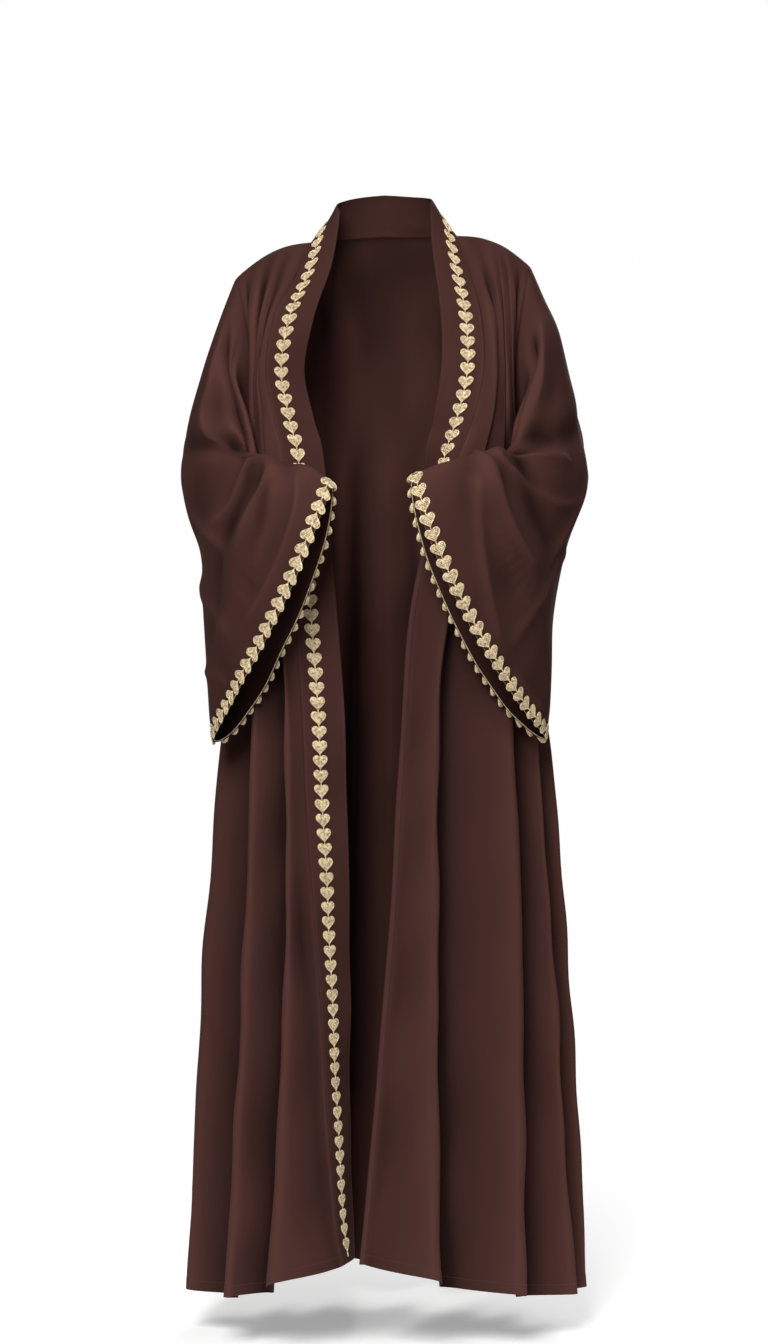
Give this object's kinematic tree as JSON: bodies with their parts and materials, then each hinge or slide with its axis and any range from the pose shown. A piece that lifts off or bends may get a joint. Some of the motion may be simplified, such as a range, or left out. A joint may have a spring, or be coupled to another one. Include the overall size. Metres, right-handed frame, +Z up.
{
  "type": "abaya",
  "caption": "Long open-front robe with wide bell sleeves, a plain front band standing up round the neck, and heart-chain trim along the band and the cuffs.",
  "frame": {"origin": "middle of the neck opening at the height of the shoulder seams, where the robe is held up by the shoulders of whoever wears it", "axes": "+Z up towards the neck, -Y towards the open front, +X towards the wearer's left sleeve"},
  "size_m": [0.5622, 0.5004, 1.5181],
  "materials": {
    "back_crepe": "matte dark brown crepe",
    "right_front_crepe": "matte dark brown crepe",
    "left_front_crepe": "matte dark brown crepe",
    "right_sleeve_crepe": "matte dark brown crepe",
    "left_sleeve_crepe": "matte dark brown crepe",
    "right_band_crepe": "matte dark brown crepe",
    "left_band_crepe": "matte dark brown crepe",
    "right_band_gold": "champagne gold trim of cord and small sequins",
    "left_band_gold": "champagne gold trim of cord and small sequins",
    "right_cuff_gold": "champagne gold trim of cord and small sequins",
    "left_cuff_gold": "champagne gold trim of cord and small sequins"
  },
  "bodies": {
    "root": {"back_panel": "back_crepe", "right_front_panel": "right_front_crepe", "left_front_panel": "left_front_crepe", "right_sleeve": "right_sleeve_crepe", "left_sleeve": "left_sleeve_crepe", "right_band": "right_band_crepe", "left_band": "left_band_crepe", "right_band_trim": "right_band_gold", "left_band_trim": "left_band_gold", "right_cuff_trim": "right_cuff_gold", "left_cuff_trim": "left_cuff_gold"}
  },
  "joints": []
}
